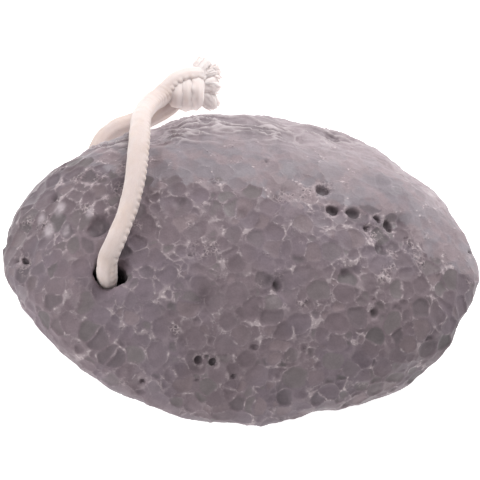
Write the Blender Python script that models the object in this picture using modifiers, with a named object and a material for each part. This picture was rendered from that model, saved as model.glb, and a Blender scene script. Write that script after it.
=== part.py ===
"""Pumice foot stone on a cotton cord.

An almond-shaped pebble of frozen foam lies on its worn flat, long axis along X. One hole is drilled
down through it near its left end. A soft cord goes through the hole, and an overhand knot with frayed
ends closes the cord's loop behind the stone. The origin is on the surface that the stone stands on,
under the middle of the stone. Metres, +Z up."""

import math

import bmesh
import bpy
import numpy as np
from mathutils import Matrix, Vector, noise

MM = 0.001

# The pebble's rounded blank, before its flats: half its length, width and thickness.
HALF_LENGTH = 63.5 * MM
HALF_WIDTH = 35.6 * MM
HALF_THICKNESS = 21.7 * MM
FLAT_SHARPNESS = 9  # higher leaves crisper ridges between the flats

# Worn flats shaved off the blank: compass bearing of the flat's normal from +X and its tilt above
# level, both in degrees, and the flat's distance from the pebble's heart.
WORN_FLATS = {
    "crown": (0, 90, 19.2 * MM),
    "back slope": (76, 54, 23.3 * MM),
    "right slope": (44, 52, 28.4 * MM),
    "left slope": (138, 46, 33.3 * MM),
    "front brow": (268, 62, 20.8 * MM),
    "left brow": (186, 52, 38.0 * MM),
    "right brow": (352, 58, 31.0 * MM),
    "right flank": (47, 16, 41.5 * MM),
    "back flank": (100, 12, 40.5 * MM),
    "left flank": (124, 10, 43.5 * MM),
    "front left flank": (228, -8, 43.0 * MM),
    "front right flank": (300, -6, 39.5 * MM),
    "right tip": (5, 0, 68.0 * MM),
    "left tip": (178, 5, 64.0 * MM),
    "belly": (0, -90, 23.0 * MM),
    "left keel": (185, -64, 25.5 * MM),
    "back keel": (95, -56, 24.5 * MM),
    "front keel": (262, -58, 21.5 * MM),
    "right keel": (358, -60, 27.0 * MM),
    "left chamfer": (222, -40, 32.0 * MM),
}
HEART = Vector((-0.4, 0.3, 19.0)) * MM  # puts the resting flat at the origin's height

# Broad lumps and hollows: bearing and tilt of the place, its half-width in degrees, its height.
LUMPS = (
    (62, 20, 9, 0.7 * MM),
    (86, 12, 10, 1.3 * MM),
    (124, 11, 10, -3.2 * MM),
    (150, 8, 11, 2.0 * MM),
    (24, 17, 7, 1.4 * MM),
    (33, 0, 6, -0.7 * MM),
    (296, -8, 8, -1.2 * MM),
    (266, -18, 8, 1.0 * MM),
    (233, -8, 9, -2.4 * MM),
    (208, -8, 8, 0.8 * MM),
    (325, -9, 8, 1.5 * MM),
    (346, -1, 8, -2.4 * MM),
)
UNDULATION = 0.5 * MM
UNDULATION_WAVES = 3.1  # waves over one radian of the surface

# Foam cells, cut open by the skin. A closed cell is a shallow dimple, an open one has a rim and a
# deeper floor, and a burst one is a pit.
CELL_SPACING = 3.6 * MM
CELL_SPREAD = 0.4  # share by which the spacing varies from place to place
CELL_PATCH = 7 * MM  # size of the patches of small and large cells
DIMPLE_DEPTHS = (0.35 * MM, 0.6 * MM)
OPEN_SHARE = 0.42
OPEN_RIM = 0.5 * MM
OPEN_DEPTH = 0.55 * MM
PIT_STEPS = ((0.35 * MM, 0.7 * MM), (0.45 * MM, 0.9 * MM))  # rim width and drop, twice
NET_MERGE = 0.25 * MM  # corners of the net closer than this become one
SKIN_LEFT = 1.2 * MM  # no cell is sunk this close above the resting flat
CANDIDATES = 30000
TOP_POINT_ERROR = 0.01 * MM
SEED = 20

# Burst cells on the upper side, by their plan position, and how many more are scattered elsewhere.
PITS_ON_TOP = tuple(
    (x * MM, y * MM)
    for x, y in (
        (16.9, 12.6),
        (18.8, 7.5),
        (23.2, 7.5),
        (30.3, 5.6),
        (26.3, 4.0),
        (7.2, 9.6),
        (7.4, -9.9),
        (-7.7, -13.2),
        (29.2, 0.0),
        (21.5, -7.0),
        (-30.1, 3.7),
        (-8.7, -24.3),
        (-5.6, -24.6),
        (-1.4, -27.4),
        (-20.4, -27.6),
        (-44.8, -0.9),
    )
)
PITS_ELSEWHERE = 14
PITS_BELOW = 4 * MM  # the others lie lower than this over the heart
PITS_BEHIND = 24 * MM  # or further back than this

# The drilled hole, straight down with a slight lean, and its mouths, which the cord has worn wider.
HOLE_TOP = Vector((-26.1, -7.2, 40.0)) * MM
HOLE_BOTTOM = Vector((-30.0, -6.0, 2.0)) * MM
HOLE_RADIUS = 3.0 * MM
HOLE_SIDES = 20
MOUTHS = (  # centre and half sizes of the worn hollows round both ends of the hole
    (Vector((-26.3, -5.5, 36.6)) * MM, Vector((4.0, 4.0, 3.5)) * MM),
    (Vector((-29.4, -5.2, 7.2)) * MM, Vector((3.7, 3.9, 2.6)) * MM),
)

# The cord: its thickness, and its centreline from the knot over the back of the stone, down through
# the hole, out under the left end and back to the knot. The surfaces of stone and cord stay at least
# 0.3 mm apart along it, and the floor stretch clears the floor by as much.
CORD_RADIUS = 2.1 * MM
CORD_ROUTE = tuple(
    Vector(point) * MM
    for point in (
        (-16.2, 44.2, 6.8),
        (-17.4, 42.8, 7.6),
        (-18.8, 40.8, 9.9),
        (-19.8, 37.8, 14.2),
        (-20.4, 34.6, 19.6),
        (-20.7, 31.0, 26.4),
        (-20.8, 26.8, 31.6),
        (-20.9, 20.8, 36.2),
        (-21.4, 13.0, 38.8),
        (-22.9, 5.6, 39.6),
        (-25.0, -0.6, 39.7),
        (-26.6, -4.0, 38.7),
        (-27.1, -5.7, 36.3),
        (-27.1, -6.6, 33.0),
        (-27.4, -6.75, 28.0),
        (-28.1, -6.6, 20.0),
        (-29.0, -6.4, 12.5),
        (-29.4, -6.1, 8.4),
        (-29.8, -4.0, 4.9),
        (-30.3, -0.8, 3.0),
        (-31.0, 4.5, 2.45),
        (-31.8, 12.0, 2.45),
        (-32.2, 20.0, 2.45),
        (-31.6, 28.0, 2.45),
        (-30.0, 34.3, 2.45),
        (-27.2, 37.4, 2.45),
        (-24.0, 38.8, 2.45),
        (-20.4, 40.0, 2.45),
        (-16.2, 42.4, 2.45),
    )
)
CORD_SPACING = 3.6 * MM  # a point nearly every diameter, because the bends at the hole are tight
ROUTE_STEPS = 24  # fine steps of the smooth curve between two points of a route

# The overhand knot. The upper leg crowns it, the lower leg runs straight in, and a short helix of the
# same cord, pulled tight, wraps both. Both ends come out of the right side as frayed tails, each with a
# route and its half-thickness along it.
KNOT_CORD_RADIUS = 1.75 * MM
UPPER_LEG = (
    (-15.3, 45.4, 6.5),
    (-13.4, 47.3, 7.0),
    (-11.4, 48.2, 7.4),
    (-9.5, 48.4, 7.0),
    (-8.3, 48.6, 6.4),
)
LOWER_LEG = (
    (-15.4, 42.9, 2.7),
    (-13.6, 44.0, 3.6),
    (-11.0, 45.0, 4.5),
    (-8.2, 45.6, 4.6),
)
WRAP_START = Vector((-13.3, 45.1, 4.35)) * MM
WRAP_END = Vector((-9.0, 45.7, 4.35)) * MM
WRAP_RADIUS = 2.5 * MM
WRAP_CORD_RADIUS = 1.5 * MM
WRAP_TURNS = 2.25
WRAP_LEAD = 0.1  # share of a turn that the wrap starts before the top
WRAP_STEPS = 12  # points in one turn of the wrap
TAILS = (
    (((-9.0, 47.2, 6.4), (-8.4, 48.6, 6.2), (-8.1, 50.2, 5.9), (-8.0, 51.8, 5.6)), (1.7, 2.0, 2.1, 1.2)),
    (((-9.6, 45.6, 4.9), (-7.8, 46.2, 4.9), (-6.0, 46.3, 4.7), (-4.6, 46.2, 4.5)), (2.0, 2.3, 2.5, 1.7)),
    (((-9.2, 45.6, 4.4), (-7.8, 44.2, 3.9), (-6.6, 42.8, 3.3), (-5.8, 41.4, 2.9)), (1.9, 2.0, 1.9, 1.1)),
    (((-8.8, 47.0, 5.8), (-7.2, 48.0, 5.8), (-5.9, 48.7, 5.6), (-5.0, 49.0, 5.5)), (1.6, 1.8, 1.6, 0.9)),
)
KNOT_VOXEL = 0.6 * MM
KNOT_KEPT_SHARE = 0.33  # share of the voxel skin's faces that are kept

PUMICE_COLOUR = (0.205, 0.165, 0.180)
PUMICE_ROUGHNESS = 0.75
COTTON_COLOUR = (0.72, 0.58, 0.53)
COTTON_ROUGHNESS = 0.9


def clear_scene():
    for obj in list(bpy.data.objects):
        bpy.data.objects.remove(obj, do_unlink=True)


def new_collection(name):
    collection = bpy.data.collections.new(name)
    bpy.context.scene.collection.children.link(collection)
    return collection


def principled(name, colour, roughness):
    material = bpy.data.materials.new(name)
    material.use_nodes = True
    shader = material.node_tree.nodes["Principled BSDF"]
    shader.inputs["Base Color"].default_value = (*colour, 1.0)
    shader.inputs["Roughness"].default_value = roughness
    shader.inputs["Metallic"].default_value = 0.0
    return material


def new_object(name, mesh, collection, material=None):
    obj = bpy.data.objects.new(name, mesh)
    collection.objects.link(obj)
    if material:
        mesh.materials.append(material)
    return obj


def evaluated_mesh(obj):
    """The object's mesh as its modifiers leave it."""
    graph = bpy.context.evaluated_depsgraph_get()
    return bpy.data.meshes.new_from_object(obj.evaluated_get(graph))


def from_angles(bearing, tilt):
    """Unit vector at a compass bearing from +X and a tilt above level, both in degrees."""
    b, t = math.radians(bearing), math.radians(tilt)
    return Vector((math.cos(b) * math.cos(t), math.sin(b) * math.cos(t), math.sin(t)))


FLAT_NORMALS = np.array([from_angles(b, t) for b, t, _ in WORN_FLATS.values()])
FLAT_DISTANCES = np.array([distance for _, _, distance in WORN_FLATS.values()])
BLANK = np.array([HALF_LENGTH, HALF_WIDTH, HALF_THICKNESS])
LUMP_CENTRES = np.array([from_angles(b, t) for b, t, _, _ in LUMPS])
LUMP_WIDTHS = np.radians([width for _, _, width, _ in LUMPS])
LUMP_HEIGHTS = np.array([height for _, _, _, height in LUMPS])


def reach(directions):
    """How far the stone's skin is from its heart, along each unit vector.

    The blank is an ellipsoid, and every flat shaves it: the reaches are blended by a high power, which
    leaves rounded ridges where flats meet. Lumps, hollows and a slow undulation come on top."""
    blank = np.linalg.norm(directions / BLANK, axis=1)
    flats = np.clip(directions @ FLAT_NORMALS.T / FLAT_DISTANCES, 0.0, None)
    shaved = blank**FLAT_SHARPNESS + (flats**FLAT_SHARPNESS).sum(axis=1)
    skin = shaved ** (-1.0 / FLAT_SHARPNESS)
    apart = np.arccos(np.clip(directions @ LUMP_CENTRES.T, -1.0, 1.0))
    lumps = (LUMP_HEIGHTS * np.exp(-((apart / LUMP_WIDTHS) ** 2))).sum(axis=1)
    waves = np.array([noise.noise(Vector(d) * UNDULATION_WAVES) for d in directions])
    return skin + lumps + UNDULATION * waves


def on_skin(directions):
    """Points of the skin, from the heart, in these directions."""
    directions = directions / np.linalg.norm(directions, axis=1, keepdims=True)
    return directions * reach(directions)[:, None]


def top_point(x, y):
    """The point of the upper skin, from the heart, over a plan position, found by halving the height."""
    x, y = x - HEART.x, y - HEART.y
    inside, outside = 0.0, HALF_THICKNESS
    while outside - inside > TOP_POINT_ERROR:
        height = (inside + outside) / 2
        point = Vector((x, y, height))
        if point.length < reach(np.array([point.normalized()]))[0]:
            inside = height
        else:
            outside = height
    return np.array([x, y, inside])


def foam_seeds(rng, pits):
    """Centres of the foam cells on the skin: the pits, then as many as fit the varying spacing."""
    seeds = np.array(pits)
    for point in on_skin(rng.normal(size=(CANDIDATES, 3))):
        spacing = CELL_SPACING * (1.0 + CELL_SPREAD * noise.noise(Vector(point) / CELL_PATCH))
        if np.linalg.norm(seeds - point, axis=1).min() > spacing:
            seeds = np.vstack([seeds, point])
    return seeds


def dual_group():
    """Geometry Nodes group that turns a triangle mesh into its dual: one cell for each corner."""
    group = bpy.data.node_groups.new("foam cells", "GeometryNodeTree")
    group.interface.new_socket("Geometry", in_out="INPUT", socket_type="NodeSocketGeometry")
    group.interface.new_socket("Geometry", in_out="OUTPUT", socket_type="NodeSocketGeometry")
    entry = group.nodes.new("NodeGroupInput")
    dual = group.nodes.new("GeometryNodeDualMesh")
    out = group.nodes.new("NodeGroupOutput")
    group.links.new(entry.outputs[0], dual.inputs["Mesh"])
    group.links.new(dual.outputs["Dual Mesh"], out.inputs[0])
    return group


def cell_net(seeds, collection):
    """A closed mesh with one many-sided face for each seed, lying on the stone's skin."""
    bm = bmesh.new()
    for seed in seeds:
        bm.verts.new(Vector(seed).normalized())
    bmesh.ops.convex_hull(bm, input=bm.verts)
    skin = on_skin(np.array([v.co for v in bm.verts]))
    for vert, place in zip(bm.verts, skin):
        vert.co = place
    bmesh.ops.beautify_fill(bm, faces=bm.faces[:], edges=bm.edges[:], method="ANGLE")
    net = bpy.data.meshes.new("cell net")
    bm.to_mesh(net)
    bm.free()
    carrier = new_object("cell net", net, collection)
    carrier.modifiers.new("dual", "NODES").node_group = dual_group()
    mesh = evaluated_mesh(carrier)
    bpy.data.objects.remove(carrier)
    return mesh


def height_of(cell):
    """Height of a cell's middle above the resting flat, while the mesh is still centred on the heart."""
    return cell.calc_center_median().z + HEART.z


def pick_pits(faces, pits, rng):
    """The cells to burst: the one at each pit's place, and some on the back and the underside."""
    middles = np.array([face.calc_center_median() for face in faces])
    chosen = {int(np.argmin(np.linalg.norm(middles - pit, axis=1))) for pit in pits}
    out_of_the_way = (middles[:, 2] < PITS_BELOW) | (middles[:, 1] > PITS_BEHIND)
    clear_of_rest = middles[:, 2] + HEART.z > 3 * SKIN_LEFT
    others = np.flatnonzero(out_of_the_way & clear_of_rest)
    chosen.update(int(i) for i in rng.choice(others, PITS_ELSEWHERE, replace=False))
    return [faces[i] for i in sorted(chosen)]


def open_cells(bm, pits, rng):
    """Sink the cells: open ones by a rim and a floor, pits by two of them, and all to a low centre."""
    cells = bm.faces[:]
    burst = pick_pits(cells, pits, rng)
    can_open = [cell for cell in cells if height_of(cell) > 2 * SKIN_LEFT and cell not in burst]
    opened = [cell for cell in can_open if rng.random() < OPEN_SHARE]
    bmesh.ops.inset_individual(bm, faces=opened, thickness=OPEN_RIM, depth=-OPEN_DEPTH)
    for rim, drop in PIT_STEPS:
        bmesh.ops.inset_individual(bm, faces=burst, thickness=rim, depth=-drop)
    floors = bmesh.ops.poke(bm, faces=cells)["verts"]
    bm.normal_update()
    for floor in floors:
        if floor.co.z + HEART.z > SKIN_LEFT:
            floor.co -= floor.normal * rng.uniform(*DIMPLE_DEPTHS)


def cut_resting_flat(bm):
    """Saw the belly off level at the height of the origin and close the cut."""
    cut = bmesh.ops.bisect_plane(
        bm,
        geom=bm.verts[:] + bm.edges[:] + bm.faces[:],
        plane_co=(0, 0, 0),
        plane_no=(0, 0, -1),
        clear_outer=True,
    )
    rim = [piece for piece in cut["geom_cut"] if isinstance(piece, bmesh.types.BMEdge)]
    bmesh.ops.contextual_create(bm, geom=rim)


def centre_on_origin(bm):
    """Put the middle of the stone's plan exactly on the origin."""
    xs, ys = [v.co.x for v in bm.verts], [v.co.y for v in bm.verts]
    off = Vector(((min(xs) + max(xs)) / 2, (min(ys) + max(ys)) / 2, 0))
    bmesh.ops.translate(bm, verts=bm.verts, vec=-off)


def shape_stone(collection, material):
    rng = np.random.default_rng(SEED)
    pits = [top_point(x, y) for x, y in PITS_ON_TOP]
    seeds = foam_seeds(rng, pits)
    mesh = cell_net(seeds, collection)
    bm = bmesh.new()
    bm.from_mesh(mesh)
    bmesh.ops.remove_doubles(bm, verts=bm.verts, dist=NET_MERGE)
    for vert, place in zip(bm.verts, on_skin(np.array([v.co for v in bm.verts]))):
        vert.co = place
    bmesh.ops.recalc_face_normals(bm, faces=bm.faces)
    open_cells(bm, pits, rng)
    bmesh.ops.translate(bm, verts=bm.verts, vec=HEART)
    cut_resting_flat(bm)
    centre_on_origin(bm)
    bmesh.ops.triangulate(bm, faces=bm.faces)
    bmesh.ops.recalc_face_normals(bm, faces=bm.faces)
    bm.to_mesh(mesh)
    bm.free()
    return new_object("pumice_stone", mesh, collection, material)


def cut_away(stone, name, bm, cutters):
    """Take a closed shape out of the stone with a Boolean."""
    mesh = bpy.data.meshes.new(name)
    bm.to_mesh(mesh)
    bm.free()
    cutter = new_object(name, mesh, cutters)
    cutter.hide_render = True
    cutter.display_type = "WIRE"
    cut = stone.modifiers.new(name, "BOOLEAN")
    cut.operation = "DIFFERENCE"
    cut.solver = "EXACT"
    cut.object = cutter


def drill(stone, cutters):
    """Cut the cord's hole through the stone, then round its two mouths."""
    axis = HOLE_TOP - HOLE_BOTTOM
    turn = axis.to_track_quat("Z", "Y").to_matrix().to_4x4()
    bore = bmesh.new()
    bmesh.ops.create_cone(
        bore,
        cap_ends=True,
        segments=HOLE_SIDES,
        radius1=HOLE_RADIUS,
        radius2=HOLE_RADIUS,
        depth=axis.length,
        matrix=Matrix.Translation((HOLE_TOP + HOLE_BOTTOM) / 2) @ turn,
    )
    cut_away(stone, "hole_cutter", bore, cutters)
    for number, (centre, half_sizes) in enumerate(MOUTHS, 1):
        mouth = bmesh.new()
        shape = Matrix.Translation(centre) @ Matrix.Diagonal((*half_sizes, 1.0))
        bmesh.ops.create_icosphere(mouth, subdivisions=2, radius=1.0, matrix=shape)
        cut_away(stone, f"mouth_cutter_{number}", mouth, cutters)


def catmull_rom(a, b, c, d, t):
    """A point between b and c on the smooth curve through all four."""
    return 0.5 * (
        2 * b
        + (c - a) * t
        + (2 * a - 5 * b + 4 * c - d) * t**2
        + (3 * b - a - 3 * c + d) * t**3
    )


def smooth_route(route, spacing):
    """Points a spacing apart on one smooth curve through the route's own points."""
    padded = [2 * route[0] - route[1], *route, 2 * route[-1] - route[-2]]
    fine = [
        catmull_rom(*padded[i : i + 4], step / ROUTE_STEPS)
        for i in range(len(route) - 1)
        for step in range(ROUTE_STEPS)
    ]
    fine.append(route[-1])
    along = np.concatenate([[0.0], np.cumsum([(b - a).length for a, b in zip(fine, fine[1:])])])
    stations = np.linspace(0.0, along[-1], round(along[-1] / spacing) + 1)
    return [Vector([np.interp(s, along, [p[k] for p in fine]) for k in range(3)]) for s in stations]


def lay_cord(collection, material):
    """The cord as one round tube with flat ends."""
    points = smooth_route(CORD_ROUTE, CORD_SPACING)
    curve = bpy.data.curves.new("rope", "CURVE")
    curve.dimensions = "3D"
    curve.bevel_depth = CORD_RADIUS
    curve.bevel_resolution = 2
    curve.use_fill_caps = True
    spline = curve.splines.new("POLY")
    spline.points.add(len(points) - 1)
    for slot, point in zip(spline.points, points):
        slot.co = (*point, 1.0)
    return new_object("rope", curve, collection, material)


def add_strand(curve, points, radii):
    """One more tube in a curve whose bevel depth is 1, with a radius for each point."""
    spline = curve.splines.new("POLY")
    spline.points.add(len(points) - 1)
    for slot, point, radius in zip(spline.points, points, radii):
        slot.co = (*point, 1.0)
        slot.radius = radius


def wrap_points():
    """The helix of cord that holds both legs, from the legs' side to the tails' side."""
    steps = round(WRAP_STEPS * WRAP_TURNS)
    points = []
    for step in range(steps + 1):
        share = step / steps
        angle = math.tau * (WRAP_TURNS * share - WRAP_LEAD)
        offset = Vector((0, math.sin(angle), math.cos(angle))) * WRAP_RADIUS
        points.append(WRAP_START.lerp(WRAP_END, share) + offset)
    return points


def tie_knot(collection, material):
    """The knot as one closed lump: its strands, skinned together."""
    curve = bpy.data.curves.new("knot strands", "CURVE")
    curve.dimensions = "3D"
    curve.bevel_depth = 1.0
    curve.bevel_resolution = 3
    curve.use_fill_caps = True
    for leg in (UPPER_LEG, LOWER_LEG):
        points = smooth_route([Vector(p) * MM for p in leg], KNOT_CORD_RADIUS)
        add_strand(curve, points, [KNOT_CORD_RADIUS] * len(points))
    wrap = wrap_points()
    add_strand(curve, wrap, [WRAP_CORD_RADIUS] * len(wrap))
    for route, half_widths in TAILS:
        add_strand(curve, [Vector(p) * MM for p in route], [width * MM for width in half_widths])
    strands = new_object("knot strands", curve, collection)
    mesh = evaluated_mesh(strands)
    bpy.data.objects.remove(strands)
    knot = new_object("rope_knot", mesh, collection, material)
    skin = knot.modifiers.new("skin", "REMESH")
    skin.mode = "VOXEL"
    skin.voxel_size = KNOT_VOXEL
    thin = knot.modifiers.new("thin", "DECIMATE")
    thin.ratio = KNOT_KEPT_SHARE
    return knot


def main():
    clear_scene()
    parts = new_collection("pumice foot stone")
    cutters = new_collection("cutters")
    pumice = principled("pumice", PUMICE_COLOUR, PUMICE_ROUGHNESS)
    stone = shape_stone(parts, pumice)
    drill(stone, cutters)
    cotton = principled("cotton", COTTON_COLOUR, COTTON_ROUGHNESS)
    lay_cord(parts, cotton)
    tie_knot(parts, cotton)


main()
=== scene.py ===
"""Pumice foot stone on a knotted cotton cord: the finished look over its fixed solids.

The stone is a pebble of frozen foam. Its skin is a slice through packed bubbles: round hollows with
pale walls and pale corners between them, patches of fine froth, and a few burst bubbles with painted
shade inside them. The cord is a soft knitted tube. It goes over the back of the stone, down through the
drilled hole and out under that end of the stone. There a wrapped knot with frayed ends ties its two legs."""

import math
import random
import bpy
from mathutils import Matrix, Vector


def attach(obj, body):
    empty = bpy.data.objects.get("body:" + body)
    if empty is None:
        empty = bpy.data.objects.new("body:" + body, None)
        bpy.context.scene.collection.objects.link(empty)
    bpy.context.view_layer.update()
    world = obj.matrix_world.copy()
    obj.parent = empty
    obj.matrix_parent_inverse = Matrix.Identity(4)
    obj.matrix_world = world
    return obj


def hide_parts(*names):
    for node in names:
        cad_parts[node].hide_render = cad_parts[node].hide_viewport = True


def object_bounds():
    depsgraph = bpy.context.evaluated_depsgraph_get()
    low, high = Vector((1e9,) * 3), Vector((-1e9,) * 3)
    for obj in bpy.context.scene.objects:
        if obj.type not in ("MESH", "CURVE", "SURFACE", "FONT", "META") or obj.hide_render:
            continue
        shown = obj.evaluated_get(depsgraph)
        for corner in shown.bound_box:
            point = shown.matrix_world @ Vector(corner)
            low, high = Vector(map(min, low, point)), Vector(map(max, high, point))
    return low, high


bl_info = {
    "name": "Pumice Foot Stone",
    "version": (1, 0, 0),
    "blender": (4, 5, 0),
    "location": "3D View > Sidebar > Pumice",
    "description": "Builds a pumice foot stone with a knotted cord, and a plain studio round it",
    "category": "Add Mesh",
}

import bmesh
import bpy
import numpy as np
from mathutils import Vector, noise
from mathutils.bvhtree import BVHTree

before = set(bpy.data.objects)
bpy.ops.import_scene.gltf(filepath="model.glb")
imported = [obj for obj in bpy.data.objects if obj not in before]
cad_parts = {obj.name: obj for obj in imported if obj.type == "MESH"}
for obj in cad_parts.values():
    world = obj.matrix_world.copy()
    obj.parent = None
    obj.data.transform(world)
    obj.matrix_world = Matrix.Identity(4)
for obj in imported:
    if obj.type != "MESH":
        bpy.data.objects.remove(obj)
CAD_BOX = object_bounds()

MM = 0.001


def millimetres(*points):
    """Points given in millimetres, as vectors in metres."""
    return tuple(Vector(point) * MM for point in points)


# The drilled hole's axis, the half sizes of its oval, and the hollows that the cord has worn at its two
# mouths, each a centre and half sizes.
HOLE_TOP, HOLE_BOTTOM = millimetres((-26.0, -6.9, 40.0), (-30.0, -6.0, 2.0))
HOLE_HALF_SIZES = (3.5 * MM, 2.55 * MM)
MOUTHS = (
    millimetres((-27.0, -5.2, 36.6), (2.7, 3.2, 3.2)),
    millimetres((-29.4, -5.2, 7.2), (3.7, 3.9, 2.6)),
)

# The smooth blank: the size of its faces, how often it is smoothed, how far it then swells to make up for
# that, and how near each other the solid's corners are when they are joined.
BLANK_FINENESS = 0.9 * MM
BLANK_SMOOTHING = 26
BLANK_SWELLING = 0.35 * MM
SAME_CORNER = 0.002 * MM

# Burst bubbles on the upper side: plan position, width along X and along Y, and depth, in millimetres.
BURST_BUBBLES = (
    (16.6, 11.8, 3.0, 3.5, 0.95), (18.5, 6.9, 2.8, 2.9, 1.05), (22.8, 6.8, 2.8, 3.2, 0.95),
    (28.1, 6.0, 2.3, 1.7, 1.1), (30.1, 4.7, 3.1, 2.4, 1.25), (25.6, 3.5, 1.9, 1.6, 0.8),
    (7.1, 9.2, 2.6, 2.8, 0.45), (7.3, -9.5, 2.1, 3.2, 0.65), (28.4, -0.6, 4.6, 3.6, 0.7),
    (21.0, -6.9, 2.2, 2.4, 0.45), (-29.6, 3.3, 5.2, 6.0, 0.36), (-8.5, -23.2, 1.5, 1.6, 1.0),
    (-5.5, -23.6, 1.9, 2.0, 1.05), (-6.9, -22.6, 1.1, 0.9, 0.75), (-3.0, -22.6, 0.9, 0.9, 0.7),
    (-1.3, -26.3, 2.1, 1.2, 0.9), (-8.7, -26.9, 1.2, 1.0, 0.65), (-20.0, -26.6, 1.2, 1.3, 0.8),
    (-10.3, -3.5, 1.1, 0.6, 0.7), (-8.9, -2.6, 0.8, 0.7, 0.6), (-44.2, -1.3, 1.7, 2.4, 1.1),
    (-45.9, -1.0, 0.9, 1.6, 0.8), (47.4, 2.6, 0.8, 1.8, 0.9), (3.0, -21.2, 2.6, 2.2, 0.42),
    (13.5, -21.5, 2.9, 2.6, 0.42), (27.2, -14.8, 2.7, 3.0, 0.42), (-12.5, 7.8, 3.4, 3.2, 0.42),
    (0.4, 5.6, 3.0, 3.4, 0.42), (-38.5, 12.0, 3.2, 2.6, 0.6), (5.3, 18.6, 0.8, 1.5, 0.8),
)

# Painted shade darkens a burst bubble, and the drilled hole, from the first depth below under the smooth
# skin, over the second. A pale rim runs round a burst bubble, in millimetres this far out and this wide,
# if it is on the upper side and deeper than RIMLESS_DEPTH.
PIT_SHADE_START = 0.35 * MM
PIT_SHADE_FADE = 0.6 * MM
RIM_DISTANCE = 0.25
RIM_WIDTH = 0.22
RIMLESS_DEPTH = 0.55
UPPER_SIDE = 15 * MM

# Gentle swellings of the skin, in millimetres: a place on it, a radius and a height. All of the skin also
# stands out by SKIN_LIFT, apart from what is deeper than LIFTED_DEPTH in burst bubbles and the hole.
SKIN_LIFT = 0.14 * MM
LIFTED_DEPTH = 0.6 * MM
SWELLINGS = (
    (-24.0, 28.8, 20.0, 7.0, 0.8), (-17.0, 31.0, 20.0, 7.0, 0.5), (-9.5, 32.4, 21.5, 8.0, 0.5),
    (43.0, -17.0, 19.0, 9.0, 0.3), (-30.0, -24.0, 20.0, 9.0, 0.3), (3.5, -33.5, 17.0, 5.5, 0.6),
)

# Edge in plan between the open front and the rubbed back, in millimetres along X and Y.
SHOULDER_EDGE = (
    (-50.0, 27.0), (-38.0, 25.0), (-30.0, 19.0), (-25.0, 14.5), (-18.0, 13.2),
    (-8.0, 12.7), (2.0, 11.0), (8.0, 9.6), (12.5, 7.6), (28.0, 7.6),
    (33.0, 6.3), (36.4, 2.0), (38.6, -1.8), (43.0, -2.8), (50.0, -4.5),
)

# Spots in millimetres, each a place on the skin and a radius: fine froth, painted highlights at the left
# end and the folded rim. For the last two the skin's own places are first multiplied by a stretch, which
# makes the highlight spots narrow along X, or by FOLD_PRESS, which makes the fold spots long. Far back all
# of the skin is faintly folded.
HIGHLIGHT_STRETCH = (1.6, 1.0, 1.0)
FOLD_PRESS = (0.45, 1.0, 1.0)
FAINT_FOLDS = 0.22
FROTH = (
    (-8.1, -2.5, 37.3, 2.6), (-5.6, -2.0, 37.3, 1.8), (14.2, 11.0, 35.2, 3.2), (17.5, 13.2, 33.4, 2.4),
    (27.2, 2.6, 33.0, 2.6), (30.5, -5.5, 33.5, 2.4), (28.6, -7.2, 33.4, 2.0), (34.8, 0.4, 31.0, 2.6),
    (36.6, -2.4, 30.4, 2.2), (-43.8, -2.9, 27.5, 2.6), (-31.4, 7.6, 33.6, 2.2), (-24.5, 11.6, 34.9, 2.4),
    (-13.4, -17.8, 32.0, 1.6), (12.8, -13.0, 34.3, 1.8), (7.8, -7.2, 36.5, 1.5), (-43.5, 7.5, 26.0, 2.4),
    (-40.5, 5.5, 28.5, 2.2), (-28.9, 14.6, 31.5, 2.4), (-24.3, 16.8, 32.5, 2.2), (-33.5, 15.7, 29.5, 2.2),
)
HIGHLIGHT_SPOTS = (
    (-59.5, 9.0, 31.0, 2.4), (-63.0, 4.2, 30.8, 2.4), (-57.0, 3.4, 32.4, 1.8), (-66.0, 7.8, 28.8, 1.9),
    (-49.5, 6.4, 34.2, 1.7),
)
FOLDS = (
    (-2.6, 29.5, 26.0, 7.0), (1.8, 27.5, 27.0, 5.5), (-5.4, 25.5, 29.0, 4.5), (8.5, 29.0, 22.5, 5.0),
    (-12.0, 27.0, 22.0, 6.0), (-11.0, 24.5, 27.5, 4.5), (-3.0, 30.0, 18.0, 7.0), (-9.0, 28.0, 14.0, 6.0),
)

# The foam: the small bubbles' size as a share of the big ones', how far the pattern is bent and drifts,
# and how it is turned against the stone. A bubble's radius is a share of its size, plus a random share.
SMALL_BUBBLE = 0.55
BEND = 1.2 * MM
DRIFT = 3.5 * MM
FOAM_TURN = (0.62, 0.48, 0.9)
BUBBLE_SHARE = 0.56
SMALL_BUBBLE_SHARE = 0.58
RANDOM_SHARE = 0.12

# Heights of the stone's relief: fine grain, broad lumps and folds.
GRAIN_HEIGHT = 0.14 * MM
LUMP_HEIGHT = 0.40 * MM
FOLD_HEIGHT = 0.70 * MM

# Colours that the foam's own three are mixed with.
VIOLET_FOAM = (0.168, 0.132, 0.157, 1.0)
PINK_BUBBLE = (0.226, 0.172, 0.182, 1.0)
GREEN_BUBBLE = (0.166, 0.143, 0.145, 1.0)
DARK_BUBBLE = (0.118, 0.102, 0.109, 1.0)
CRUMB = (0.52, 0.44, 0.45, 1.0)
FROTH_WALL = (0.50, 0.41, 0.42, 1.0)
# Fold colours: painted shade between the folds, and pale film with a painted highlight on their crests.
TROUGH_PAINTED_SHADE = (0.20, 0.165, 0.182, 1.0)
CREST_FILM_AND_HIGHLIGHT = (0.51, 0.445, 0.46, 1.0)
PIT_RIM = (0.40, 0.33, 0.345, 1.0)
# Colour of the painted highlights at the stone's left end.
PAINTED_HIGHLIGHT = (0.42, 0.36, 0.385, 1.0)

# Colours of the rubbed back: two kinds of dust, its bubbles, and a painted sheen on its far part, at either
# end.
WARM_DUST = (0.250, 0.196, 0.211, 1.0)
COLD_DUST = (0.218, 0.189, 0.210, 1.0)
DUSTY_BUBBLE = (0.190, 0.155, 0.172, 1.0)
PAINTED_SHEEN_NEAR_HOLE = (0.328, 0.271, 0.289, 1.0)
PAINTED_SHEEN_FAR_END = (0.384, 0.320, 0.340, 1.0)

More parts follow.
